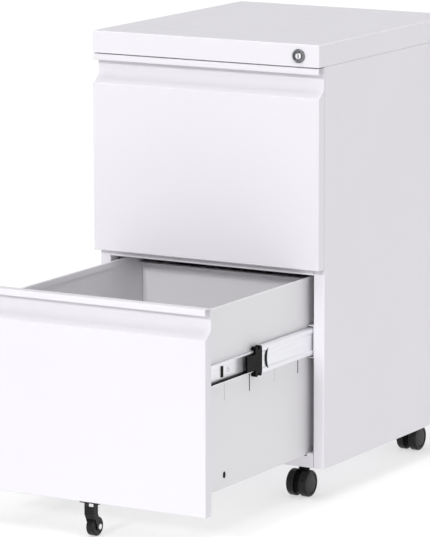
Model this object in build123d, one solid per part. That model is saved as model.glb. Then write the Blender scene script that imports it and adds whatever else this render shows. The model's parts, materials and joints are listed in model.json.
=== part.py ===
from build123d import *
import math
import os

# Mobile two-drawer filing cabinet, in millimetres. +Z is up, the drawers open towards -Y, and the
# origin is on the floor, below the middle of the whole object with its lower drawer pulled out.

# Driving dimensions
WIDTH = 380.0
DEPTH = 443.0
BODY_HEIGHT = 625.0
FLOOR_GAP = 51.2            # floor to the underside of the body
REST_OPENING = 325.0        # how far the lower drawer stands open at rest
SHEET = 1.0

# Body shell
HOOD_HEIGHT = 32.9
HOOD_TOP_THICKNESS = 1.2
HOOD_SKIRT = 0.9
HOOD_EDGE_RADIUS = 2.0
HOOD_RETURN = 8.0
SEAM = 0.4
POST_SETBACK = 18.2         # closed drawer face to the front of the posts
POST_FACE = 17.35
POST_RETURN = 22.0
POST_RADIUS = 2.5
REAR_RETURN = 12.0
JOGGLE = (574.0, 617.0)     # levels of the side panel's edge that steps in behind the hood
JOGGLE_MARGIN = (25.0, 8.0)
TRAY_FLANGE = 16.8
TRAY_CORNER_TOP = 21.5
TRAY_CORNER_DEPTH = 28.0
STEM_HOLE = 5.2
RAIL_LEVELS = (286.0, 308.0)
RAIL_DEPTH = 15.0
UPRIGHT_FRONTS = (62.0, 330.0)
UPRIGHT_WIDTH = 34.0
UPRIGHT_FLANGE = 11.0

# Drawers, measured from the face plane backwards and from the bottom of the face upwards
DRAWER_PITCH = 296.3
FACE_HEIGHT = 250.2
PANEL_THICKNESS = 16.5
FACE_TOP_RADIUS = 1.5
FACE_EDGE_RADIUS = 0.9
RECESS_BOTTOM = 260.4
RECESS_RADIUS = 12.0
LIP_BOTTOM = 284.8
LIP_TOP = 294.3
LIP_HEM = 4.5
BOX_WIDTH = 320.0
BOX_BACK = 413.0
WALL_BOTTOM = 18.5
WALL_TOP = 281.5
BACK_TOP = 268.0
HEM_WIDTH = 3.0
HEM_DROP = 9.0
WALL_FLANGE = 14.0
SLITS = ((105.0, 1.0), (176.5, 2.6), (249.0, 1.0), (319.0, 2.6))    # place and width of each slit
SLIT_SPAN = (145.0, 178.0)
WALL_HOLE = (104.0, 37.7)
WALL_HOLE_SIZE = (5.0, 8.0)
BUMPER_RADIUS = 4.0
BUMPER_LENGTH = 1.4
BUMPER_LEVELS = (22.0, 240.0)
PAN_FLANGE = 9.0
BACK_FLANGE = 10.0

# Telescopic slides, one pair for each drawer
SLIDE_LEVEL = 188.0
SLIDE_SHEET = 1.2
OUTER_HALF = 24.25
OUTER_SPAN = (20.0, 420.0)
MIDDLE_HALF = 20.0
MIDDLE_SPAN = (62.0, 418.0)
INNER_HALF = 14.5
INNER_SPAN = (20.0, 410.0)
OUTER_FACE = BOX_WIDTH / 2 + 12.65
OUTER_TIP = 3.5             # this and the next four: how far each part lies from the drawer's wall
MIDDLE_TIP = 2.5
MIDDLE_WEB = 8.8
MIDDLE_RACE = 10.2
INNER_TIP = 7.0
RACE_STEP = (11.5, 13.5)
SLIDE_SCREWS = (113.5, 210.0, 330.0)
SLIDE_SCREW_HOLE = 2.2
MIDDLE_RATIO = 0.594        # how far the middle member goes for each millimetre of the drawer
RETAINER_LENGTH = 42.5
RETAINER_PLANES = (7.6, 11.0)
RETAINER_HALF = 11.5
CHEEK_HALF = 17.0
CHEEK_LENGTH = 19.0
KNOB_RADIUS = 3.4
KNOB_LEVEL = 18.6
KNOB_PLACES = (15.4, 4.2)
KNOB_INNER = 3.5
BOW_HALF = 15.0
BOW_SPAN = (10.0, 17.0)     # middle and tips of the bow, behind the front of the middle member
BOW_WIDTH = (1.8, 5.0)      # at the tips and at the middle
STOP_PLACE = 95.5
STOP_WIDTH = 5.0
STOP_HALF = 7.8
STOP_THICKNESS = 1.4

# Lock
LOCK_INSET = 32.5
LOCK_LEVEL = 607.7
ESCUTCHEON_RADIUS = 10.1
ESCUTCHEON_RECESS = 8.0
BARREL_RADIUS = 8.9
BARREL_LENGTH = 20.0
ESCUTCHEON_THICKNESS = 2.6
LOCK_NUT_RADIUS = 12.6
LOCK_NUT_THICKNESS = 5.0
PLUG_RADIUS = 5.0
KEYWAY_HALF = (0.8, 3.2)
SHAFT_RADIUS = 3.0
RUNNING_GAP = 0.05
CRANK_ARM = 7.0
CRANK_PIN = 2.0
CRANK_BOSS = 5.0
CRANK_TIP = 3.6
CRANK_WIDTH = 6.4
PLUG_LENGTH = 22.0
CRANK_REACH = (430.0, 432.5)
BAR_PLANE = (436.0, 438.0)
CATCH_LEVEL = 200.0
CATCH_SPAN = (144.0, 158.0)
CATCH_HOOK = 8.0
CATCH_LENGTH = 19.0
CATCH_FOOT = 14.0
CATCH_SHEET = 1.5
BAR_SPAN = (146.0, 160.0)
BAR_HEAD = (170.5, 8.0, 7.0)        # its right edge, and how far it goes below and above the pin
ARM_SPAN = (148.0, 156.0)
ARM_THICKNESS = 2.0
TONGUE_PLACE = 7.0
TONGUE_THICKNESS = 3.0
TONGUE_DROP = 10.4
TONGUE_HEIGHT = 24.0
GUIDE_LEVELS = (330.0, 520.0)
GUIDE_HEIGHT = 12.0
GUIDE_SPAN = (138.0, 168.0)
GUIDE_GAP = 0.4
BEARING_PLACE = (422.0, 424.0)
BEARING_HALF = 9.0

# Casters
CASTER_INSET = 52.1
CASTER_PLACES = (46.6, 399.5)
CASTER_TRAIL = 10.5
WHEEL_RADIUS = 20.0
WHEEL_SPAN = (4.6, 16.8)
WEB_HALF = 4.2
WEB_RADIUS = 17.2
DISH_RIM = 5.0
HUB_INSET = 6.0
KINGPIN_RADIUS = 2.5
KINGPIN_END = 33.5
STEM_RADIUS = 5.0
STEM_LENGTH = 11.0
NUT_RADIUS = 8.5
NUT_HEIGHT = 5.5
CROWN_RADIUS = 9.5
AXLE_RADIUS = 2.5
COLLAR_RADIUS = 7.0
HOUSING_TOP = 45.0

# Anti-tip wheel under the lower drawer's face
TIP_WHEEL_RADIUS = 13.9
TIP_WHEEL_HALF = 6.5
TIP_CLEARANCE = 0.7
TIP_PLACE = 14.8
FORK_INNER = 6.9
FORK_SHEET = 1.2
FORK_FRONT = 0.6
FORK_DEPTH = 10.4
FORK_BEND = -17.4           # where the legs start to lean back, from the underside of the face
FORK_WEB = (-25.0, -6.0)
FORK_END_RADIUS = 6.0
FORK_PLATE = 1.2
FORK_PLATE_HALF = 16.0
FORK_PLATE_DEPTH = 17.0     # ends in front of the base pan when the drawer is shut
AXLE_HEAD_RADIUS = 3.9
AXLE_HEAD = 1.6

HALF = WIDTH / 2
FRONT = (REST_OPENING - DEPTH) / 2
BACK = FRONT + DEPTH
SKIN = HALF - SHEET
HOOD_BOTTOM = BODY_HEIGHT - HOOD_HEIGHT
TOP = FLOOR_GAP + BODY_HEIGHT
LOCK_X = HALF - LOCK_INSET
LOCK_Z = FLOOR_GAP + LOCK_LEVEL
BOX_HALF = BOX_WIDTH / 2


def block(x, y, z):
    """Box between a low and a high value on each axis."""
    size = [span[1] - span[0] for span in (x, y, z)]
    centre = [(span[0] + span[1]) / 2 for span in (x, y, z)]
    return Pos(*centre) * Box(*size)


def rod_x(radius, x, y, z):
    """Cylinder along X between two x values."""
    return Pos((x[0] + x[1]) / 2, y, z) * Rot(0, 90, 0) * Cylinder(radius, x[1] - x[0])


def rod_y(radius, x, y, z):
    """Cylinder along Y between two y values."""
    return Pos(x, (y[0] + y[1]) / 2, z) * Rot(90, 0, 0) * Cylinder(radius, y[1] - y[0])


def rod_z(radius, x, y, z):
    """Cylinder along Z between two z values."""
    return Pos(x, y, (z[0] + z[1]) / 2) * Cylinder(radius, z[1] - z[0])


def folded(points, radii, thickness=SHEET):
    """Cross-section of a sheet folded along a mid-line, one bend radius for each corner."""
    return trace(FilletPolyline(*points, radius=radii), thickness)


def pair(shape):
    """The shape on the right and its mirror image on the left."""
    return Compound([*shape.solids(), *mirror(shape, about=Plane.YZ).solids()])


def group(shapes):
    """Separate solids kept together as one sub-part."""
    return Compound([solid for shape in shapes for solid in shape.solids()])


# Body shell. These functions work from the closed face plane and the underside of the body.

def side_panel():
    """Right side panel: rear return, outer skin, front post folded back on itself, and bottom flange."""
    mid = SHEET / 2
    inner = HALF - POST_FACE + mid
    front = POST_SETBACK + mid
    path = [
        (HALF - REAR_RETURN, DEPTH - mid),
        (HALF - mid, DEPTH - mid),
        (HALF - mid, front),
        (inner, front),
        (inner, POST_SETBACK + POST_RETURN),
    ]
    skin = extrude(folded(path, [1.2, POST_RADIUS - mid, 1.0]), HOOD_BOTTOM - SEAM)
    along = (JOGGLE_MARGIN[0], DEPTH - JOGGLE_MARGIN[1])
    joggle = block((SKIN - 1.2, SKIN), along, JOGGLE)
    lap = block((SKIN - 1.2, SKIN + 0.2), along, (JOGGLE[0], HOOD_BOTTOM - 2))
    floor = block((inner, SKIN + 0.2), (front, DEPTH - 1.2), (0, SHEET))
    return skin + joggle + lap + floor


def back_panel():
    """Flat back, set between the side panels' rear returns."""
    return block((-SKIN + 1, SKIN - 1), (DEPTH - 2, DEPTH - SHEET), (1.4, JOGGLE[1]))


def top_hood():
    """Top plate with skirts all round, an inward return along the front, and the hole for the lock."""
    shell = block((-HALF, HALF), (0, DEPTH), (HOOD_BOTTOM, BODY_HEIGHT))
    rounded = shell.edges().group_by(Axis.Z)[-1] + shell.edges().filter_by(Axis.Z)
    shell = fillet(rounded, HOOD_EDGE_RADIUS)
    hollow = block(
        (-HALF + HOOD_SKIRT, HALF - HOOD_SKIRT),
        (SHEET, DEPTH - HOOD_SKIRT),
        (HOOD_BOTTOM - 1, BODY_HEIGHT - HOOD_TOP_THICKNESS),
    )
    flange = block((-HALF + 3, HALF - 3), (SHEET - 0.2, HOOD_RETURN), (HOOD_BOTTOM, HOOD_BOTTOM + SHEET))
    hole = rod_y(BARREL_RADIUS + 0.1, LOCK_X, (-2, 3), LOCK_LEVEL)
    return shell - hollow + flange - hole


def base_pan():
    """Tray with upturned edges, a closed corner beside each post and a hole for each caster stem."""
    side = HALF - POST_FACE - 0.3
    front = POST_SETBACK
    pan = block((-side, side), (front, DEPTH - 2.3), (0, TRAY_FLANGE))
    pan -= block((-side + SHEET, side - SHEET), (front + SHEET, DEPTH - 3.3), (SHEET, TRAY_FLANGE + 1))
    inner, back = BOX_HALF + 1.5, front + TRAY_CORNER_DEPTH
    corner = block((inner, side), (front, back), (TRAY_FLANGE - SHEET, TRAY_CORNER_TOP))
    hollow_levels = (TRAY_FLANGE - 2 * SHEET, TRAY_CORNER_TOP - SHEET)
    corner -= block((inner + SHEET, side - SHEET), (front + SHEET, back + 1), hollow_levels)
    pan += corner + mirror(corner, about=Plane.YZ)
    for x, y in caster_stem_places():
        pan -= rod_z(STEM_HOLE, x, y, (-1, 3))
    return pan


def cross_rail():
    """Channel between the two drawer openings, open to the back."""
    low, high = RAIL_LEVELS[0] + SHEET / 2, RAIL_LEVELS[1] - SHEET / 2
    front, back = POST_SETBACK + SHEET / 2, POST_SETBACK + RAIL_DEPTH
    section = folded([(back, low), (front, low), (front, high), (back, high)], [1.2, 1.2])
    half = HALF - POST_FACE - 0.3
    return extrude(Plane.YZ.offset(-half) * section, 2 * half)


def slide_uprights():
    """Four hat channels that carry the slides off the side panels."""
    inner, outer = OUTER_FACE + SHEET / 2, SKIN - SHEET / 2
    hats = []
    for start in UPRIGHT_FRONTS:
        end = start + UPRIGHT_WIDTH
        path = [
            (outer, start - UPRIGHT_FLANGE),
            (outer, start),
            (inner, start),
            (inner, end),
            (outer, end),
            (outer, end + UPRIGHT_FLANGE),
        ]
        hats.append(Pos(0, 0, 2) * extrude(folded(path, [1.0] * 4), JOGGLE[0] - 4))
    return pair(group(hats))


# Slides, centred on their own height

def outer_member():
    """Fixed member: a C channel that opens towards the drawer."""
    tip, web, half = BOX_HALF + OUTER_TIP, OUTER_FACE - SLIDE_SHEET / 2, OUTER_HALF - SLIDE_SHEET / 2
    section = folded([(tip, -half), (web, -half), (web, half), (tip, half)], [1.6, 1.6], SLIDE_SHEET)
    return along_y(section, OUTER_SPAN)


def middle_member():
    """Middle member: a C channel whose web steps inwards between two ball races."""
    tip, web, race = BOX_HALF + MIDDLE_TIP, BOX_HALF + MIDDLE_WEB, BOX_HALF + MIDDLE_RACE
    half = MIDDLE_HALF - SLIDE_SHEET / 2
    upper = [(web, RACE_STEP[0]), (race, RACE_STEP[1]), (race, half), (tip, half)]
    path = [(x, -z) for x, z in reversed(upper)] + upper
    section = folded(path, [1.6, 0.9, 0.9, 0.9, 0.9, 1.6], SLIDE_SHEET)
    return along_y(section, MIDDLE_SPAN) - cage_bow(BOX_HALF + 7.5, 4.5)


def inner_member():
    """Drawer member: a C channel on the drawer's wall that opens away from it."""
    web, tip, half = BOX_HALF + SLIDE_SHEET / 2, BOX_HALF + INNER_TIP, INNER_HALF - SLIDE_SHEET / 2
    section = folded([(tip, -half), (web, -half), (web, half), (tip, half)], [1.6, 1.6], SLIDE_SHEET)
    member = along_y(section, INNER_SPAN)
    for place in SLIDE_SCREWS:
        member -= rod_x(SLIDE_SCREW_HOLE, (BOX_HALF - 1, BOX_HALF + 3), place, 0)
    return member


def along_y(section, span):
    """A section drawn in X and Z, run along Y between two values."""
    drawn = Plane.XZ.offset(-span[1]) * section
    return extrude(drawn, span[1] - span[0])


def retainer():
    """Plastic guide on the front end of the middle member, with two knobs above and two below."""
    front, back = MIDDLE_SPAN[0] - RETAINER_LENGTH, MIDDLE_SPAN[0]
    outside = tuple(BOX_HALF + plane for plane in RETAINER_PLANES)
    body = block(outside, (front, back), (-RETAINER_HALF, RETAINER_HALF))
    body += block(outside, (back - CHEEK_LENGTH, back), (-CHEEK_HALF, CHEEK_HALF))
    for sign in (1, -1):
        for place in KNOB_PLACES:
            knob = (BOX_HALF + KNOB_INNER, outside[1])
            body += rod_x(KNOB_RADIUS, knob, back - place, sign * KNOB_LEVEL)
    return body


def cage_bow(x, thickness):
    """Bow that starts at x, near the front end of the middle member: thin tips and a thick middle."""
    near, far = MIDDLE_SPAN[0] + BOW_SPAN[0], MIDDLE_SPAN[0] + BOW_SPAN[1]
    tip, middle = BOW_WIDTH
    bow = ThreePointArc((far, -BOW_HALF), (near, 0), (far, BOW_HALF))
    bow += Line((far, BOW_HALF), (far + tip, BOW_HALF))
    bow += ThreePointArc((far + tip, BOW_HALF), (near + middle, 0), (far + tip, -BOW_HALF))
    bow += Line((far + tip, -BOW_HALF), (far, -BOW_HALF))
    return extrude(Plane.YZ.offset(x) * make_face(bow), thickness)


def cage_end():
    """End of the ball cage, seen through a bow-shaped slot in the middle member."""
    return cage_bow(BOX_HALF + 8.0, 2.6)


def slide_stop():
    """Plastic stop across the web of the inner member."""
    web = BOX_HALF + SLIDE_SHEET
    place = (STOP_PLACE - STOP_WIDTH / 2, STOP_PLACE + STOP_WIDTH / 2)
    return block((web, web + STOP_THICKNESS), place, (-STOP_HALF, STOP_HALF))


# Drawer pieces, from the face plane and the bottom of the face

def front_panel():
    """Face with a sloped top, the finger recess above it, and the lip that hangs over the recess."""
    mid = SHEET / 2
    deep = PANEL_THICKNESS - mid
    path = [
        (PANEL_THICKNESS - 1.5, mid),
        (mid, mid),
        (mid, FACE_HEIGHT),
        (deep, RECESS_BOTTOM),
        (deep, LIP_TOP - mid),
        (mid, LIP_TOP - mid),
        (mid, LIP_BOTTOM + mid),
        (LIP_HEM, LIP_BOTTOM + mid),
    ]
    section = folded(path, [1.2, FACE_TOP_RADIUS, RECESS_RADIUS, 1.5, 1.5, 1.2])
    panel = extrude(Plane.YZ.offset(-HALF) * section, WIDTH)
    outline = FilletPolyline(*path[1:4], (deep, LIP_BOTTOM), radius=[FACE_TOP_RADIUS, RECESS_RADIUS])
    outline += Polyline((deep, LIP_BOTTOM), (deep + mid, LIP_BOTTOM), (deep + mid, mid), (mid, mid))
    cheek = extrude(Plane.YZ.offset(HALF - SHEET) * make_face(outline), SHEET)
    panel += cheek + mirror(cheek, about=Plane.YZ)
    upright = [edge for edge in panel.edges().filter_by(Axis.Z) if edge.length > FACE_HEIGHT / 2]
    corners = [edge for edge in upright if abs(edge.center().X) > HALF - 0.1 and edge.center().Y < 0.1]
    return fillet(corners, FACE_EDGE_RADIUS)


def front_liner():
    """Flat inner plate that closes the back of the face."""
    y = (PANEL_THICKNESS - SHEET, PANEL_THICKNESS)
    return block((-SKIN + 0.2, SKIN - 0.2), y, (0.2, RECESS_BOTTOM - 5.5))


def side_wall():
    """Right wall of the box: hemmed top edge, front and rear flanges, slits and one oblong hole."""
    mid = SHEET / 2
    outer, hem = BOX_HALF - mid, BOX_HALF - HEM_WIDTH + mid
    top = WALL_TOP - mid
    section = folded(
        [(outer, WALL_BOTTOM), (outer, top), (hem, top), (hem, top - HEM_DROP)],
        [0.98, 0.98],
    )
    wall = along_y(section, (PANEL_THICKNESS, BOX_BACK - SHEET))
    flange_levels = (WALL_BOTTOM + 2, top - HEM_DROP - 4)
    flange_x = (BOX_HALF - WALL_FLANGE, BOX_HALF - mid)
    wall += block(flange_x, (PANEL_THICKNESS, PANEL_THICKNESS + SHEET), flange_levels)
    through = (BOX_HALF - 2, BOX_HALF + 1)
    for place, width in SLITS:
        wall -= block(through, (place - width / 2, place + width / 2), SLIT_SPAN)
    place, level = WALL_HOLE
    width, height = WALL_HOLE_SIZE
    straight = (height - width) / 2
    wall -= block(through, (place - width / 2, place + width / 2), (level - straight, level + straight))
    for z in (level - straight, level + straight):
        wall -= rod_x(width / 2, through, place, z)
    return wall


def box_bottom():
    """Bottom plate with a short upturned flange along each wall."""
    half = BOX_HALF - SHEET - 0.1
    mid = SHEET / 2
    path = [
        (-half + mid, WALL_BOTTOM + PAN_FLANGE),
        (-half + mid, WALL_BOTTOM + mid),
        (half - mid, WALL_BOTTOM + mid),
        (half - mid, WALL_BOTTOM + PAN_FLANGE),
    ]
    return along_y(folded(path, [1.2, 1.2]), (PANEL_THICKNESS + SHEET + 0.1, BOX_BACK - SHEET - 0.1))


def box_back():
    """Back plate with a top edge turned forwards."""
    mid = SHEET / 2
    back = BOX_BACK - mid
    top = BACK_TOP - mid
    section = folded([(back, WALL_BOTTOM), (back, top), (back - BACK_FLANGE, top)], [1.5])
    half = BOX_HALF - SHEET - 0.2
    return extrude(Plane.YZ.offset(-half) * section, 2 * half)


def bumpers():
    """Four soft buttons on the back of the face that meet the posts."""
    place = (PANEL_THICKNESS, PANEL_THICKNESS + BUMPER_LENGTH)
    x = HALF - POST_FACE / 2
    return pair(group([rod_y(BUMPER_RADIUS, x, place, z) for z in BUMPER_LEVELS]))


def lock_catch():
    """Angle on the back of the box: the lock bar's tongue rises in front of its hook."""
    low, end = CATCH_LEVEL, BOX_BACK + CATCH_LENGTH
    plate = block(CATCH_SPAN, (BOX_BACK, end), (low, low + CATCH_SHEET))
    hook = block(CATCH_SPAN, (end - CATCH_SHEET, end), (low - CATCH_HOOK, low + CATCH_SHEET))
    foot = block(CATCH_SPAN, (BOX_BACK, BOX_BACK + CATCH_SHEET), (low, low + CATCH_FOOT))
    return plate + hook + foot


# Anti-tip wheel, from the same planes as the drawer pieces

def tip_centre():
    """Place and height of the anti-tip wheel's axle."""
    return TIP_PLACE, TIP_WHEEL_RADIUS + TIP_CLEARANCE - FLOOR_GAP


def tip_fork():
    """Fork: plate under the face, two legs that lean back to the axle, and a web across their fronts."""
    y, z = tip_centre()
    top, back = -FORK_PLATE, FORK_FRONT + FORK_DEPTH
    lean = (y - FORK_END_RADIUS, z + 2)
    leg_outline = Polyline(
        (FORK_FRONT, top),
        (FORK_FRONT, FORK_BEND),
        lean,
        (y + FORK_END_RADIUS, z),
        (back, FORK_BEND),
        (back, top),
        close=True,
    )
    leg = extrude(Plane.YZ.offset(FORK_INNER) * make_face(leg_outline), FORK_SHEET)
    leg += rod_x(FORK_END_RADIUS, (FORK_INNER, FORK_INNER + FORK_SHEET), y, z)
    leg -= rod_x(AXLE_RADIUS + 0.02, (FORK_INNER - 1, FORK_INNER + FORK_SHEET + 1), y, z)
    outer = FORK_INNER + FORK_SHEET
    low, high = FORK_WEB
    reach = (lean[0] - FORK_FRONT) * (FORK_BEND - low) / (FORK_BEND - lean[1])
    web_outline = Polyline(
        (FORK_FRONT, high),
        (FORK_FRONT, FORK_BEND),
        (FORK_FRONT + reach, low),
        (FORK_FRONT + reach + FORK_SHEET, low),
        (FORK_FRONT + FORK_SHEET, FORK_BEND),
        (FORK_FRONT + FORK_SHEET, high),
        close=True,
    )
    web = extrude(Plane.YZ.offset(-outer) * make_face(web_outline), 2 * outer)
    plate = block((-FORK_PLATE_HALF, FORK_PLATE_HALF), (FORK_FRONT, FORK_FRONT + FORK_PLATE_DEPTH), (top, 0))
    return plate + leg + mirror(leg, about=Plane.YZ) + web


def tip_axle():
    """Riveted axle with a round head on each side."""
    y, z = tip_centre()
    outer = FORK_INNER + FORK_SHEET
    axle = rod_x(AXLE_RADIUS, (-outer - 1.0, outer + 1.0), y, z)
    for sign in (1, -1):
        head = sorted((sign * outer, sign * (outer + AXLE_HEAD)))
        axle += rod_x(AXLE_HEAD_RADIUS, head, y, z)
    return axle


def tip_wheel():
    """Solid wheel with rounded shoulders and a dished face on each side."""
    y, z = tip_centre()
    return Pos(0, y, z) * wheel(TIP_WHEEL_RADIUS, (-TIP_WHEEL_HALF, TIP_WHEEL_HALF), (2.2, 2.2), both=True)


# Casters, from the wheel's centre line and the floor

def wheel(radius, span, shoulders, both=False):
    """Wheel about the X axis: shoulder radii at its low and high side, and a dished outer face."""
    disc = rod_x(radius, span, 0, 0)
    rims = disc.edges().filter_by(GeomType.CIRCLE).sort_by(Axis.X)
    disc = fillet(rims[0], shoulders[0])
    rims = disc.edges().filter_by(GeomType.CIRCLE).sort_by(Axis.X)
    disc = fillet(rims[-1], shoulders[1])
    dish = radius - DISH_RIM
    disc -= rod_x(dish, (span[1] - 0.8, span[1] + 1), 0, 0)
    bore_end = span[1] + 1
    if both:
        disc -= rod_x(dish, (span[0] - 1, span[0] + 0.8), 0, 0)
    else:
        disc += rod_x(dish - HUB_INSET, (span[1] - 1.2, span[1] - 0.2), 0, 0)
        bore_end = span[1] - 2.0
    return disc - rod_x(AXLE_RADIUS + RUNNING_GAP, (span[0] - 1, bore_end), 0, 0)


def caster_wheel():
    """Right-hand wheel of a twin caster, closed on its outer face."""
    return Pos(0, 0, WHEEL_RADIUS) * wheel(WHEEL_RADIUS, WHEEL_SPAN, (1.2, 3.2))


def caster_housing():
    """Web between the wheels with a crown above them, bored for the kingpin and the axle."""
    half = (-WEB_HALF, WEB_HALF)
    web = rod_x(WEB_RADIUS, half, 0, WHEEL_RADIUS)
    web += block(half, (-3, CASTER_TRAIL + 6), (WHEEL_RADIUS + 6, HOUSING_TOP - 4))
    web += block(half, (0, CASTER_TRAIL + 6), (WHEEL_RADIUS - 2, HOUSING_TOP - 4))
    crown = rod_z(CROWN_RADIUS, 0, CASTER_TRAIL, (WHEEL_RADIUS * 2 + 0.5, HOUSING_TOP))
    crown = chamfer(crown.edges().group_by(Axis.Z)[-1], 0.8)
    body = web + crown
    body -= rod_z(KINGPIN_RADIUS + RUNNING_GAP, 0, CASTER_TRAIL, (KINGPIN_END - 0.5, HOUSING_TOP + 1))
    return body - rod_x(AXLE_RADIUS + 0.02, (-9, 9), 0, WHEEL_RADIUS)


def caster_axle():
    """Axle pressed into the web, blind in both wheels."""
    reach = WHEEL_SPAN[1] - 2.3
    return rod_x(AXLE_RADIUS, (-reach, reach), 0, WHEEL_RADIUS)


def caster_stem():
    """Kingpin, collar under the base, threaded stem through it and the nut inside."""
    collar = rod_z(COLLAR_RADIUS, 0, CASTER_TRAIL, (HOUSING_TOP + 0.3, FLOOR_GAP))
    collar = chamfer(collar.edges().group_by(Axis.Z)[0], 0.8)
    stem = collar + rod_z(STEM_RADIUS, 0, CASTER_TRAIL, (FLOOR_GAP - 0.5, FLOOR_GAP + STEM_LENGTH))
    stem += rod_z(KINGPIN_RADIUS, 0, CASTER_TRAIL, (KINGPIN_END, HOUSING_TOP + 1))
    hexagon = extrude(RegularPolygon(NUT_RADIUS, 6), NUT_HEIGHT)
    return stem + Pos(0, CASTER_TRAIL, FLOOR_GAP + SHEET) * hexagon


def caster_places():
    """Name, x and y of each caster's wheel centre, y from the closed face plane."""
    x = HALF - CASTER_INSET
    rows = (("front", CASTER_PLACES[0]), ("rear", CASTER_PLACES[1]))
    return [(f"{row}_{side}", sign * x, y) for row, y in rows for side, sign in (("left", -1), ("right", 1))]


def caster_stem_places():
    """x and y of each caster's kingpin, y from the closed face plane."""
    return [(x, y + CASTER_TRAIL) for name, x, y in caster_places()]


# Lock, in place

def lock_barrel():
    """Round escutcheon with a sunk face, and the barrel behind it."""
    ring = rod_y(ESCUTCHEON_RADIUS, LOCK_X, (FRONT - ESCUTCHEON_THICKNESS, FRONT), LOCK_Z)
    ring = fillet(ring.edges().group_by(Axis.Y)[0], 0.9)
    ring -= rod_y(ESCUTCHEON_RECESS, LOCK_X, (FRONT - 3, FRONT - 0.6), LOCK_Z)
    barrel = ring + rod_y(BARREL_RADIUS, LOCK_X, (FRONT - 0.5, FRONT + BARREL_LENGTH), LOCK_Z)
    return barrel - rod_y(PLUG_RADIUS + RUNNING_GAP, LOCK_X, (FRONT - 4, FRONT + 30), LOCK_Z)


def lock_nut():
    """Hexagonal nut that holds the barrel against the hood."""
    hexagon = RegularPolygon(LOCK_NUT_RADIUS, 6) - Circle(BARREL_RADIUS + 0.02)
    nut = extrude(Plane.XZ * hexagon, -LOCK_NUT_THICKNESS)
    return Pos(LOCK_X, FRONT + SHEET + 0.1, LOCK_Z) * nut


def lock_plug():
    """Key plug with its keyway."""
    plug = rod_y(PLUG_RADIUS, LOCK_X, (FRONT - 2.2, FRONT + PLUG_LENGTH), LOCK_Z)
    plug = fillet(plug.edges().group_by(Axis.Y)[0], 0.5)
    wide, tall = KEYWAY_HALF
    keyway = block((-wide, wide), (FRONT - 3, FRONT + 8), (-tall, tall))
    return plug - Pos(LOCK_X, 0, LOCK_Z) * keyway


def crank_pin_place():
    """x and z of the crank pin at rest: below and to the right of the shaft."""
    offset = CRANK_ARM * math.cos(math.radians(45))
    return LOCK_X + offset, LOCK_Z - offset


def lock_shaft():
    """Shaft from the plug to the back, with a crank and its pin on the rear end."""
    x, z = crank_pin_place()
    near, far = FRONT + CRANK_REACH[0], FRONT + CRANK_REACH[1]
    shaft = rod_y(SHAFT_RADIUS, LOCK_X, (FRONT + PLUG_LENGTH, far), LOCK_Z)
    shaft += rod_y(CRANK_BOSS, LOCK_X, (near, far), LOCK_Z) + rod_y(CRANK_TIP, x, (near, far), z)
    arm = Box(CRANK_ARM, far - near, CRANK_WIDTH)
    middle = Pos((LOCK_X + x) / 2, (near + far) / 2, (LOCK_Z + z) / 2)
    shaft += middle * Rot(0, 45, 0) * arm
    return shaft + rod_y(CRANK_PIN, x, (near, FRONT + BAR_PLANE[1] + 1.5), z)


def lock_bar():
    """Vertical bar with a slotted head, and a tongue on an arm for each drawer."""
    y = (FRONT + BAR_PLANE[0], FRONT + BAR_PLANE[1])
    x, z = crank_pin_place()
    low = FLOOR_GAP + CATCH_LEVEL - TONGUE_DROP - TONGUE_HEIGHT - 3
    edge, below, above = BAR_HEAD
    bar = block(BAR_SPAN, y, (low, z))
    bar += block((BAR_SPAN[0], edge), y, (z - below, z + above))
    slot = (z - CRANK_PIN - 0.5, z + CRANK_PIN + 0.5)
    bar -= block((x - CRANK_PIN - 1, x + CRANK_PIN + 3), (y[0] - 1, y[1] + 1), slot)
    near = FRONT + BOX_BACK + TONGUE_PLACE
    for level in (0, 1):
        top = FLOOR_GAP + level * DRAWER_PITCH + CATCH_LEVEL - TONGUE_DROP
        root = top - TONGUE_HEIGHT
        arm = block(ARM_SPAN, (near, y[1]), (root, root + ARM_THICKNESS))
        tongue = block(ARM_SPAN, (near, near + TONGUE_THICKNESS), (root, top))
        bar += arm + tongue
    return bar


def lock_guides():
    """Two bridges that keep the bar on the back panel, and the bearing plate of the shaft."""
    y0 = FRONT + BAR_PLANE[0]
    panel = BACK - 2
    guides = []
    for level in GUIDE_LEVELS:
        z = (FLOOR_GAP + level, FLOOR_GAP + level + GUIDE_HEIGHT)
        bridge = block(GUIDE_SPAN, (y0 - 2, panel), z)
        way = (BAR_SPAN[0] - GUIDE_GAP, BAR_SPAN[1] + GUIDE_GAP)
        bridge -= block(way, (y0 - GUIDE_GAP, panel + 1), (z[0] - 1, z[1] + 1))
        guides.append(bridge)
    levels = (LOCK_Z - 7, TOP - HOOD_TOP_THICKNESS)
    near, far = (FRONT + place for place in BEARING_PLACE)
    bearing = block((LOCK_X - BEARING_HALF, LOCK_X + BEARING_HALF), (near, far), levels)
    bearing -= rod_y(SHAFT_RADIUS + RUNNING_GAP, LOCK_X, (near - 1, far + 1), LOCK_Z)
    guides.append(bearing)
    return group(guides)


# Assembly

def body_nodes():
    """Shell pieces, moved from their own planes to the common frame."""
    right = side_panel()
    shell = {
        "side_panel_right": right,
        "side_panel_left": mirror(right, about=Plane.YZ),
        "back_panel": back_panel(),
        "top_hood": top_hood(),
        "base_pan": base_pan(),
        "cross_rail": cross_rail(),
        "slide_uprights": slide_uprights(),
    }
    return {name: Pos(0, FRONT, FLOOR_GAP) * shape for name, shape in shell.items()}


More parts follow.
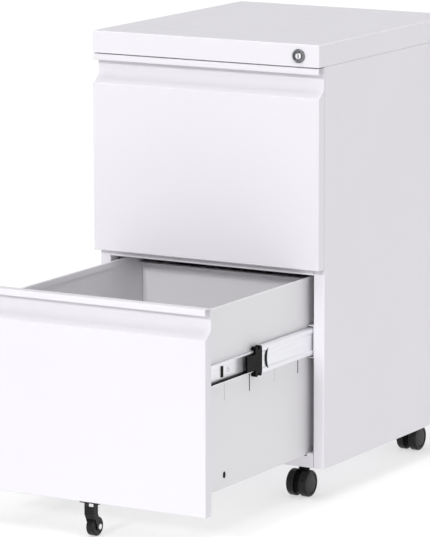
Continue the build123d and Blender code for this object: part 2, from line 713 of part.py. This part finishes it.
def drawer_nodes(name, level, opening):
    """Everything on one drawer, and the slides that carry it."""
    wall = side_wall()
    pieces = {
        "front_panel": front_panel(),
        "front_liner": front_liner(),
        "side_right": wall,
        "side_left": mirror(wall, about=Plane.YZ),
        "bottom": box_bottom(),
        "back": box_back(),
        "bumpers": bumpers(),
        "lock_catch": lock_catch(),
        "inner_slides": Pos(0, 0, SLIDE_LEVEL) * pair(inner_member()),
        "slide_stops": Pos(0, 0, SLIDE_LEVEL) * pair(slide_stop()),
    }
    height = FLOOR_GAP + level * DRAWER_PITCH
    place = Pos(0, FRONT - opening, height)
    nodes = {f"{name}_{piece}": place * shape for piece, shape in pieces.items()}
    middle = Pos(0, FRONT - MIDDLE_RATIO * opening, height + SLIDE_LEVEL)
    nodes[f"{name}_middle_slides"] = middle * pair(middle_member())
    nodes[f"{name}_retainers"] = middle * pair(group([retainer(), cage_end()]))
    nodes[f"{name}_outer_slides"] = Pos(0, FRONT, height + SLIDE_LEVEL) * pair(outer_member())
    return nodes


def tip_nodes():
    """Anti-tip wheel and its fork, under the lower drawer's face."""
    place = Pos(0, FRONT - REST_OPENING, FLOOR_GAP)
    pieces = {"antitip_fork": tip_fork(), "antitip_axle": tip_axle(), "antitip_wheel": tip_wheel()}
    return {name: place * shape for name, shape in pieces.items()}


def caster_nodes():
    """Four casters, each with its own housing, axle and two wheels."""
    nodes = {}
    right = caster_wheel()
    left = mirror(right, about=Plane.YZ)
    stems = []
    for name, x, y in caster_places():
        place = Pos(x, FRONT + y, 0)
        nodes[f"caster_{name}_housing"] = place * caster_housing()
        nodes[f"caster_{name}_axle"] = place * caster_axle()
        nodes[f"caster_{name}_wheel_left"] = place * left
        nodes[f"caster_{name}_wheel_right"] = place * right
        stems.append(place * caster_stem())
    nodes["caster_stems"] = group(stems)
    return nodes


def lock_nodes():
    """Lock, shaft, bar and guides."""
    return {
        "lock_barrel": lock_barrel(),
        "lock_nut": lock_nut(),
        "lock_plug": lock_plug(),
        "lock_shaft": lock_shaft(),
        "lock_bar": lock_bar(),
        "lock_guides": lock_guides(),
    }


def main():
    nodes = body_nodes()
    nodes.update(drawer_nodes("lower", 0, REST_OPENING))
    nodes.update(drawer_nodes("upper", 1, 0.0))
    nodes.update(tip_nodes())
    nodes.update(caster_nodes())
    nodes.update(lock_nodes())
    os.makedirs("parts", exist_ok=True)
    for name, shape in nodes.items():
        export_step(shape, f"parts/{name}.step")
    print(len(nodes), "nodes")


main()
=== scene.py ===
import json
import math

import bmesh
import bpy
from mathutils import Matrix, Vector


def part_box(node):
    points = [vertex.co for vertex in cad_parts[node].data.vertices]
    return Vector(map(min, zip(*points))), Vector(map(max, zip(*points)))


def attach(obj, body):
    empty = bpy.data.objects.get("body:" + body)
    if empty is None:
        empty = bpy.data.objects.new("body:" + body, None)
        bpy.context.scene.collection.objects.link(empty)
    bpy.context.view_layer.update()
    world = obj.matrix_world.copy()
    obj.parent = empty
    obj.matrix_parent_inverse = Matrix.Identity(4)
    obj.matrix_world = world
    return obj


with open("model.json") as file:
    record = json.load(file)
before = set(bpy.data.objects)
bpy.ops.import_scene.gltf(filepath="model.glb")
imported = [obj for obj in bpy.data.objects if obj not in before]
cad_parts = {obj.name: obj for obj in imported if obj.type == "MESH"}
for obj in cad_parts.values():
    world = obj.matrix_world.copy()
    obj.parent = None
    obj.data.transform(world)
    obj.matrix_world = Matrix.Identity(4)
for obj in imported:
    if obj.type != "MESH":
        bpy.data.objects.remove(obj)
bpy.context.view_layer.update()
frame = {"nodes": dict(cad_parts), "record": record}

MM = 0.001
SIDES = ((-1, "left"), (1, "right"))

# Camera, as the angle it looks from, the point it looks at and how far off it stands
CAMERA_AZIMUTH = 30.05
CAMERA_ELEVATION = 10.27
CAMERA_ROLL = -0.11
CAMERA_DISTANCE = 5.9
CAMERA_AIM = (-0.0690, 0.0913, 0.3056)
CAMERA_LENS = 261.9

# Powder coat colours, linear
FACE_WHITE = (0.735, 0.72, 0.758)
INNER_WHITE = (0.74, 0.73, 0.75)


# Materials

def new_material(name):
    """Material with one Principled shader, and short ways to add and link nodes."""
    material = bpy.data.materials.new(name)
    material.use_nodes = True
    tree = material.node_tree
    return material, tree, tree.nodes["Principled BSDF"]


def add(tree, kind, **values):
    """Node of a kind; values named as inputs are set on its sockets, the rest on the node."""
    node = tree.nodes.new(kind)
    for key, value in values.items():
        if key in node.inputs:
            node.inputs[key].default_value = value
        else:
            setattr(node, key, value)
    return node


def object_coordinates(tree, scale=(1, 1, 1)):
    """Coordinates in metres in the row frame, stretched by scale."""
    source = add(tree, "ShaderNodeTexCoord")
    mapping = add(tree, "ShaderNodeMapping", Scale=scale)
    tree.links.new(source.outputs["Object"], mapping.inputs["Vector"])
    return mapping.outputs["Vector"]


def noise(tree, vector, scale, detail=3.0, roughness=0.5):
    node = add(tree, "ShaderNodeTexNoise", Scale=scale, Detail=detail, Roughness=roughness)
    tree.links.new(vector, node.inputs["Vector"])
    return node.outputs["Fac"]


def remap(tree, value, low, high, source=(0.3, 0.7)):
    """Noise value spread from low to high."""
    node = add(tree, "ShaderNodeMapRange")
    for key, number in (("From Min", source[0]), ("From Max", source[1]), ("To Min", low), ("To Max", high)):
        node.inputs[key].default_value = number
    tree.links.new(value, node.inputs["Value"])
    return node.outputs["Result"]


def blend_colours(tree, factor, first, second):
    node = add(tree, "ShaderNodeMix", data_type="RGBA")
    colours = [socket for socket in node.inputs if socket.type == "RGBA"]
    for socket, colour in zip(colours, (first, second)):
        socket.default_value = (*colour, 1)
    tree.links.new(factor, node.inputs["Factor"])
    return next(socket for socket in node.outputs if socket.type == "RGBA")


def bump(tree, shader, height, strength, distance):
    node = add(tree, "ShaderNodeBump", Strength=strength, Distance=distance)
    tree.links.new(height, node.inputs["Height"])
    tree.links.new(node.outputs["Normal"], shader.inputs["Normal"])


def powder_coat(name, colour, roughness=0.42):
    """White powder coat: orange-peel bump, faint unevenness of colour and gloss."""
    material, tree, shader = new_material(name)
    vector = object_coordinates(tree)
    peel = noise(tree, vector, 620.0, 2.0)
    cloud = noise(tree, vector, 5.0, 4.0)
    darker = tuple(c * 0.985 for c in colour)
    tree.links.new(blend_colours(tree, remap(tree, cloud, 0, 1), darker, colour), shader.inputs["Base Color"])
    gloss = noise(tree, vector, 34.0, 5.0)
    tree.links.new(remap(tree, gloss, roughness - 0.04, roughness + 0.05), shader.inputs["Roughness"])
    shader.inputs["IOR"].default_value = 1.5
    shader.inputs["Specular IOR Level"].default_value = 0.3
    shader.inputs["Coat Weight"].default_value = 0.05
    shader.inputs["Coat Roughness"].default_value = 0.3
    bump(tree, shader, peel, 0.12, 0.00012)
    return material


def zinc(name, colour, along=(1, 1, 1), roughness=0.34, metallic=0.7):
    """Zinc-plated rolled steel with fine drawing lines along its length."""
    material, tree, shader = new_material(name)
    lines = noise(tree, object_coordinates(tree, along), 260.0, 6.0, 0.65)
    cloud = noise(tree, object_coordinates(tree), 22.0, 4.0)
    darker = tuple(c * 0.93 for c in colour)
    tree.links.new(blend_colours(tree, remap(tree, lines, 0, 1), darker, colour), shader.inputs["Base Color"])
    shader.inputs["Metallic"].default_value = metallic
    tree.links.new(remap(tree, cloud, roughness - 0.07, roughness + 0.09), shader.inputs["Roughness"])
    bump(tree, shader, lines, 0.04, 0.00005)
    return material


def plastic(name, colour, roughness, grain=900.0, strength=0.15, shine=0.25):
    """Moulded plastic with a fine grained surface."""
    material, tree, shader = new_material(name)
    vector = object_coordinates(tree)
    grains = noise(tree, vector, grain, 3.0)
    cloud = noise(tree, vector, 60.0, 4.0)
    lighter = tuple(min(1.0, c * 1.25) for c in colour)
    tint = blend_colours(tree, remap(tree, cloud, 0, 1), colour, lighter)
    tree.links.new(tint, shader.inputs["Base Color"])
    tree.links.new(remap(tree, cloud, roughness - 0.05, roughness + 0.06), shader.inputs["Roughness"])
    shader.inputs["Specular IOR Level"].default_value = shine
    bump(tree, shader, grains, strength, 0.0001)
    return material


def chrome(name):
    """Polished plate with faint polishing marks."""
    material, tree, shader = new_material(name)
    marks = noise(tree, object_coordinates(tree), 420.0, 6.0, 0.7)
    tree.links.new(
        blend_colours(tree, remap(tree, marks, 0, 1), (0.17, 0.175, 0.185), (0.27, 0.275, 0.285)),
        shader.inputs["Base Color"],
    )
    shader.inputs["Metallic"].default_value = 1.0
    tree.links.new(remap(tree, marks, 0.12, 0.22), shader.inputs["Roughness"])
    bump(tree, shader, marks, 0.05, 0.00004)
    return material


MATERIALS = {
    "white_powder_coat": powder_coat("white_powder_coat", FACE_WHITE),
    "drawer_powder_coat": powder_coat("drawer_powder_coat", INNER_WHITE, 0.46),
    "zinc_steel": zinc("zinc_steel", (0.88, 0.88, 0.915), (1, 0.03, 1), 0.32, 0.5),
    "bright_zinc": zinc("bright_zinc", (0.86, 0.86, 0.87), (1, 1, 1), 0.22, 0.9),
    "lock_chrome": chrome("lock_chrome"),
    "black_paint": plastic("black_paint", (0.003, 0.003, 0.0033), 0.30, 500.0, 0.08),
    "black_plastic": plastic("black_plastic", (0.0015, 0.0015, 0.0017), 0.42, shine=0.08),
    "wheel_nylon": plastic("wheel_nylon", (0.007, 0.007, 0.0075), 0.30),
    "soft_rubber": plastic("soft_rubber", (0.62, 0.62, 0.62), 0.6),
}


def finish_cad_nodes():
    """Each CAD node gets the material of its slot in the record."""
    for part in frame["record"]["subparts"]:
        node = frame["nodes"][part["node"]]
        node.data.materials.clear()
        node.data.materials.append(MATERIALS[part["material_slot"]])


# Pieces that the CAD model leaves to this scene

SHARP_ANGLE = math.radians(35)          # edges sharper than this stay crisp


def new_piece(name, mesh_data, slot, body, smooth=True):
    """Object from a bmesh, with its slot's material, riding on a body."""
    mesh = bpy.data.meshes.new(name)
    bmesh.ops.recalc_face_normals(mesh_data, faces=mesh_data.faces)
    mesh_data.to_mesh(mesh)
    mesh_data.free()
    for polygon in mesh.polygons:
        polygon.use_smooth = smooth
    piece = bpy.data.objects.new(name, mesh)
    bpy.context.scene.collection.objects.link(piece)
    mesh.materials.append(MATERIALS[slot])
    if smooth:
        mesh.set_sharp_from_angle(angle=SHARP_ANGLE)
    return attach(piece, body)


def skin(mesh_data, rings):
    """Join neighbouring rings of vertices with faces. A ring may be a single vertex."""
    for first, second in zip(rings, rings[1:]):
        count = max(len(first), len(second))
        for index in range(count):
            following = (index + 1) % count
            corners = [first[index % len(first)], first[following % len(first)]]
            corners += [second[following % len(second)], second[index % len(second)]]
            corners = list(dict.fromkeys(corners))
            if len(corners) > 2:
                mesh_data.faces.new(corners)


def lathe(mesh_data, profile, centre, outward, segments=48, dent=None):
    """Revolve (radius, height) points about an axis through centre; heights go outward along it."""
    turn = Vector(outward).to_track_quat("Z", "X").to_matrix()
    rings = []
    for radius, height in profile:
        ring = []
        for index in range(segments if radius else 1):
            angle = 2 * math.pi * index / segments
            x, y = radius * math.cos(angle), radius * math.sin(angle)
            drop = dent(x, y) if dent else 0
            ring.append(mesh_data.verts.new(turn @ Vector((x, y, height - drop)) + centre))
        rings.append(ring)
    skin(mesh_data, rings)


def cross_dent(width, reach, depth):
    """Cross-shaped recess of a screw head."""
    def dent(x, y):
        inside = min(abs(x), abs(y)) < width and max(abs(x), abs(y)) < reach
        return depth if inside else 0.0
    return dent


def in_mm(points):
    return [(radius * MM, height * MM) for radius, height in points]


# Profiles as (radius, height), closed on the axis
PAN_HEAD = in_mm([
    (0, 1.7), (0.4, 1.7), (0.55, 1.69), (1.0, 1.66), (1.5, 1.6), (1.9, 1.5),
    (2.4, 1.34), (2.9, 1.0), (3.3, 0.5), (3.4, 0), (0, 0),
])
RIVET_HEAD = in_mm([(0, 0.85), (0.9, 0.84), (1.8, 0.7), (2.5, 0.42), (2.9, 0), (0, 0)])
WHEEL_DISC = in_mm([
    (0, -0.05), (4.0, -0.08), (8.0, -0.15), (12.0, -0.3), (13.4, -0.45), (14.0, -0.6), (14.2, -0.8),
    (14.7, -0.8), (14.7, -1.0), (0, -1.0),
])


def wheel_discs():
    """Dished cover on the outer face of each caster wheel."""
    for row in ("front", "rear"):
        for side in ("left", "right"):
            for sign, wheel in SIDES:
                low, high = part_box(f"caster_{row}_{side}_wheel_{wheel}")
                outer = high.x if sign > 0 else low.x
                centre = Vector((outer, (low.y + high.y) / 2, (low.z + high.z) / 2))
                data = bmesh.new()
                lathe(data, WHEEL_DISC, centre, (sign, 0, 0), 64)
                new_piece(f"disc_{row}_{side}_{wheel}", data, "wheel_nylon", f"wheel_{row}_{side}_{wheel}")


BALL_RADIUS = 2.05 * MM
BALL_PITCH = 9.5 * MM
BALL_RACE = 16.65 * MM
BALL_INSET = 5.6 * MM
BALL_START = 14 * MM
BALL_COUNT = 22


def slide_balls(drawer):
    """Balls between the inner and the middle members of one drawer's slides."""
    low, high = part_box(f"{drawer}_middle_slides")
    level = (low.z + high.z) / 2
    data = bmesh.new()
    for side in (-1, 1):
        for race in (-1, 1):
            for index in range(BALL_COUNT):
                place = Vector((
                    side * (high.x - BALL_INSET),
                    low.y + BALL_START + index * BALL_PITCH,
                    level + race * BALL_RACE,
                ))
                where = Matrix.Translation(place)
                bmesh.ops.create_icosphere(data, subdivisions=2, radius=BALL_RADIUS, matrix=where)
    new_piece(f"{drawer}_slide_balls", data, "bright_zinc", f"{drawer}_runners")


SLIDE_SCREWS = (93.5, 190.0, 310.0)     # behind the front end of the inner member, in millimetres
SLIDE_WEB = 6.0 * MM                    # from the tip of the member's flanges to its web
SCREW_LIFT = 0.2 * MM                   # how far the head's seat stands off the web
SCREW_CROSS = (0.42 * MM, 1.7 * MM, 0.9 * MM)   # half width, reach and depth of the head's recess


def slide_screws(drawer):
    """Cross-head screws that hold the inner members to the drawer."""
    low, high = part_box(f"{drawer}_inner_slides")
    level = (low.z + high.z) / 2
    data = bmesh.new()
    for side in (-1, 1):
        for place in SLIDE_SCREWS:
            centre = Vector((side * (high.x - SLIDE_WEB + SCREW_LIFT), low.y + place * MM, level))
            lathe(data, PAN_HEAD, centre, (side, 0, 0), 40, cross_dent(*SCREW_CROSS))
    new_piece(f"{drawer}_slide_screws", data, "bright_zinc", f"{drawer}_drawer")


STRIP_REACH = (1.5 * MM, 6.5 * MM)      # from the drawer's wall outwards
STRIP_PLACES = (1.5 * MM, 60.0 * MM, 180.0 * MM)
STRIP_HEIGHTS = (0.7 * MM, 2.0 * MM, 2.0 * MM)
SLIDE_FLANGE = 1.25 * MM


def slide_shade_strips(drawer):
    """Black strip that lies on the lower flange of each inner member and thickens backwards: painted shade
    for the dark gap along that flange.
    """
    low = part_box(f"{drawer}_inner_slides")[0]
    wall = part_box(f"{drawer}_side_right")[1].x
    floor_level = low.z + SLIDE_FLANGE
    data = bmesh.new()
    for side in (-1, 1):
        sections = []
        for place, height in zip(STRIP_PLACES, STRIP_HEIGHTS):
            near, far = (side * (wall + reach) for reach in STRIP_REACH)
            rounding = 0.25 * height
            outline = [
                (near, 0), (far, 0), (far, height - rounding), (far - side * rounding, height),
                (near + side * rounding, height), (near, height - rounding),
            ]
            sections.append([data.verts.new((x, low.y + place, floor_level + z)) for x, z in outline])
        skin(data, sections)
        data.faces.new(sections[0])
        data.faces.new(sections[-1])
    new_piece(f"{drawer}_slide_shade_strips", data, "black_plastic", f"{drawer}_drawer")


WALL_HOLE_PLACE = (87.5, 19.2)          # behind the front end of the wall and above its lower edge
PLUG_HALF = 3.3 * MM                    # half the width of the plug's flange
PLUG_STRAIGHT = 1.5 * MM                # from the plug's middle to the centre of each round end
PLUG_SEGMENTS = 40
# Share of the half width, and height out from the wall in millimetres
PLUG_PROFILE = ((0.55, 0.9), (0.85, 0.75), (1.0, 0.4), (1.0, 0.0), (0.7, 0.0), (0.7, -1.4))


def wall_plugs(drawer):
    """Plastic plug in the oblong hole of each drawer wall."""
    data = bmesh.new()
    for side, name in SIDES:
        low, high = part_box(f"{drawer}_side_{name}")
        outer = high.x if side > 0 else low.x
        place, level = low.y + WALL_HOLE_PLACE[0] * MM, low.z + WALL_HOLE_PLACE[1] * MM
        rings = []
        for share, height in PLUG_PROFILE:
            ring = []
            for index in range(PLUG_SEGMENTS):
                angle = 2 * math.pi * (index + 0.5) / PLUG_SEGMENTS
                y = share * PLUG_HALF * math.cos(angle)
                z = share * PLUG_HALF * math.sin(angle) + math.copysign(PLUG_STRAIGHT, math.sin(angle))
                ring.append(data.verts.new((outer + side * height * MM, place + y, level + z)))
            rings.append(ring)
        skin(data, rings)
        data.faces.new(rings[0])
        data.faces.new(rings[-1])
    new_piece(f"{drawer}_wall_plugs", data, "black_plastic", f"{drawer}_drawer")


SLIT_LEVELS = (126.5, 159.5)            # ends of the slits above the wall's lower edge
SLIT_PLACES = ((160.0, 2.6), (302.5, 2.6))
SLIT_DEPTH = (0.35, 0.85)


def slit_shade_strips(drawer):
    """Black strips set in the wider slits of each drawer wall: painted shade, so the slits read dark where
    only shade falls.
    """
    data = bmesh.new()
    for side, name in SIDES:
        low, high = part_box(f"{drawer}_side_{name}")
        outer = high.x if side > 0 else low.x
        for place, width in SLIT_PLACES:
            spans = [
                sorted(outer - side * depth * MM for depth in SLIT_DEPTH),
                [low.y + (place + end * width / 2) * MM for end in (-1, 1)],
                [low.z + level * MM for level in SLIT_LEVELS],
            ]
            middle = Vector(sum(span) / 2 for span in spans)
            size = Vector(span[1] - span[0] for span in spans)
            where = Matrix.Translation(middle) @ Matrix.Diagonal((*size, 1))
            strip = bmesh.ops.create_cube(data, size=1.0, matrix=where)
            edges = {edge for vert in strip["verts"] for edge in vert.link_edges}
            bmesh.ops.bevel(data, geom=list(edges), offset=0.1 * MM, segments=2, affect="EDGES")
    new_piece(f"{drawer}_slit_shade_strips", data, "black_plastic", f"{drawer}_drawer")


# Lock trim: (radius, height out from the sunk face) in millimetres, and the cap's (share of the way
# from the keyway to the rim, height out from the plug)
LOCK_RING = (
    (5.2, 0.02), (5.2, 0.25), (5.6, 0.4), (6.2, 0.4), (6.6, 0.2), (7.4, 0.2),
    (7.7, 0.45), (7.9, 0.45), (7.9, 0.02), (5.2, 0.02),
)
LOCK_CAP = ((0, 0.0), (0, 0.3), (0.06, 0.4), (0.5, 0.42), (0.85, 0.32), (1, 0.12), (1, 0.0), (0, 0.0))
CAP_RADIUS = 4.5 * MM
KEYWAY = (0.8 * MM, 3.1 * MM)           # half its width and half its height
SUNK_FACE = 2.0 * MM                    # depth of the sunk face behind the escutcheon's front


def lock_ring():
    """Grooved ring in the escutcheon's sunk face."""
    low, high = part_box("lock_barrel")
    centre = Vector(((low.x + high.x) / 2, low.y + SUNK_FACE, (low.z + high.z) / 2))
    data = bmesh.new()
    lathe(data, in_mm(LOCK_RING), centre, (0, -1, 0), 64)
    new_piece("lock_ring", data, "lock_chrome", "cabinet")


def lock_cap(segments=64):
    """Bright cap on the plug, open around the keyway."""
    low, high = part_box("lock_plug")
    x, z = (low.x + high.x) / 2, (low.z + high.z) / 2
    data = bmesh.new()
    rings = []
    for share, height in LOCK_CAP:
        ring = []
        for index in range(segments):
            angle = 2 * math.pi * index / segments
            across, up = math.cos(angle), math.sin(angle)
            square = max(abs(across), abs(up))
            inner = (KEYWAY[0] * across / square, KEYWAY[1] * up / square)
            outer = (CAP_RADIUS * across, CAP_RADIUS * up)
            place = [near + (far - near) * share for near, far in zip(inner, outer)]
            ring.append(data.verts.new((x + place[0], low.y - height * MM, z + place[1])))
        rings.append(ring)
    skin(data, rings)
    bmesh.ops.remove_doubles(data, verts=data.verts, dist=0.001 * MM)
    new_piece("lock_cap", data, "bright_zinc", "key_plug")


RIVET_ROWS = 6
RIVET_INSET = 19 * MM


def back_rivets():
    """Blind rivets down both edges of the back panel."""
    low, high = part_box("back_panel")
    data = bmesh.new()
    for side in (-1, 1):
        for index in range(RIVET_ROWS):
            height = low.z + (high.z - low.z) * (index + 0.5) / RIVET_ROWS
            centre = Vector((side * (high.x - RIVET_INSET), high.y, height))
            lathe(data, RIVET_HEAD, centre, (0, 1, 0), 32)
    new_piece("back_rivets", data, "white_powder_coat", "cabinet")


# Floor, light and camera

# Name, azimuth and elevation in degrees, share of the light, and spread in degrees
STUDIO_LIGHTS = (
    ("front", 0, 24, 0.44, 8),
    ("front_right", 60, 20, 0.15, 30),
    ("overhead", 20, 78, 0.50, 50),
    ("behind", 165, 35, 0.12, 60),
)
WORLD_HORIZON = 1.0
WORLD_ZENITH = 0.25
HORIZON_BAND = (0.07, 0.3)  # sines of the elevations between which the sky goes from one to the other
FLOOR_GLOW = 0.56
FLOOR_HALF = 14.0           # metres from the middle to each edge


def floor():
    mesh = bpy.data.meshes.new("floor")
    corners = [(x * FLOOR_HALF, y * FLOOR_HALF, 0) for x, y in ((-1, -1), (1, -1), (1, 1), (-1, 1))]
    mesh.from_pydata(corners, [], [(0, 1, 2, 3)])
    plane = bpy.data.objects.new("floor", mesh)
    bpy.context.scene.collection.objects.link(plane)
    material, tree, shader = new_material("floor_white")
    cloud = noise(tree, object_coordinates(tree), 0.8, 2.0)
    tree.links.new(
        blend_colours(tree, remap(tree, cloud, 0, 1), (0.42, 0.42, 0.42), (0.44, 0.44, 0.44)),
        shader.inputs["Base Color"],
    )
    shader.inputs["Roughness"].default_value = 0.9
    shader.inputs["Emission Color"].default_value = (1, 1, 1, 1)
    shader.inputs["Emission Strength"].default_value = FLOOR_GLOW
    plane.data.materials.append(material)


def studio_light(name, azimuth, elevation, share, spread):
    """Distant soft light; share is its part of the light on a surface that faces it."""
    light = bpy.data.lights.new(name, "SUN")
    light.energy = share * math.pi
    light.angle = math.radians(spread)
    lamp = bpy.data.objects.new(name, light)
    turn, rise = math.radians(azimuth), math.radians(elevation)
    towards = Vector((math.sin(turn) * math.cos(rise), -math.cos(turn) * math.cos(rise), math.sin(rise)))
    lamp.rotation_euler = towards.to_track_quat("Z", "Y").to_euler()
    bpy.context.scene.collection.objects.link(lamp)


def lighting():
    world = bpy.data.worlds.new("studio")
    world.use_nodes = True
    tree = world.node_tree
    tree.nodes["Background"].inputs["Color"].default_value = (1, 1, 1, 1)
    direction = add(tree, "ShaderNodeTexCoord")
    height = add(tree, "ShaderNodeSeparateXYZ")
    tree.links.new(direction.outputs["Generated"], height.inputs["Vector"])
    strength = remap(tree, height.outputs["Z"], WORLD_HORIZON, WORLD_ZENITH, HORIZON_BAND)
    tree.links.new(strength, tree.nodes["Background"].inputs["Strength"])
    bpy.context.scene.world = world
    for name, azimuth, elevation, share, spread in STUDIO_LIGHTS:
        studio_light(name, azimuth, elevation, share, spread)
    bpy.context.scene.view_settings.view_transform = "Standard"


def camera():
    azimuth, elevation = math.radians(CAMERA_AZIMUTH), math.radians(CAMERA_ELEVATION)
    towards = Vector((
        math.sin(azimuth) * math.cos(elevation),
        -math.cos(azimuth) * math.cos(elevation),
        math.sin(elevation),
    ))
    data = bpy.data.cameras.new("camera")
    data.lens = CAMERA_LENS
    data.clip_end = 100
    view = bpy.data.objects.new("camera", data)
    turn = towards.to_track_quat("Z", "Y").to_matrix() @ Matrix.Rotation(math.radians(CAMERA_ROLL), 3, "Z")
    view.matrix_world = Matrix.Translation(Vector(CAMERA_AIM) + towards * CAMERA_DISTANCE) @ turn.to_4x4()
    bpy.context.scene.collection.objects.link(view)
    bpy.context.scene.camera = view


camera()
lighting()
floor()
finish_cad_nodes()
wheel_discs()
back_rivets()
lock_ring()
lock_cap()
for drawer in ("lower", "upper"):
    slide_balls(drawer)
    slide_screws(drawer)
    slide_shade_strips(drawer)
    wall_plugs(drawer)
    slit_shade_strips(drawer)
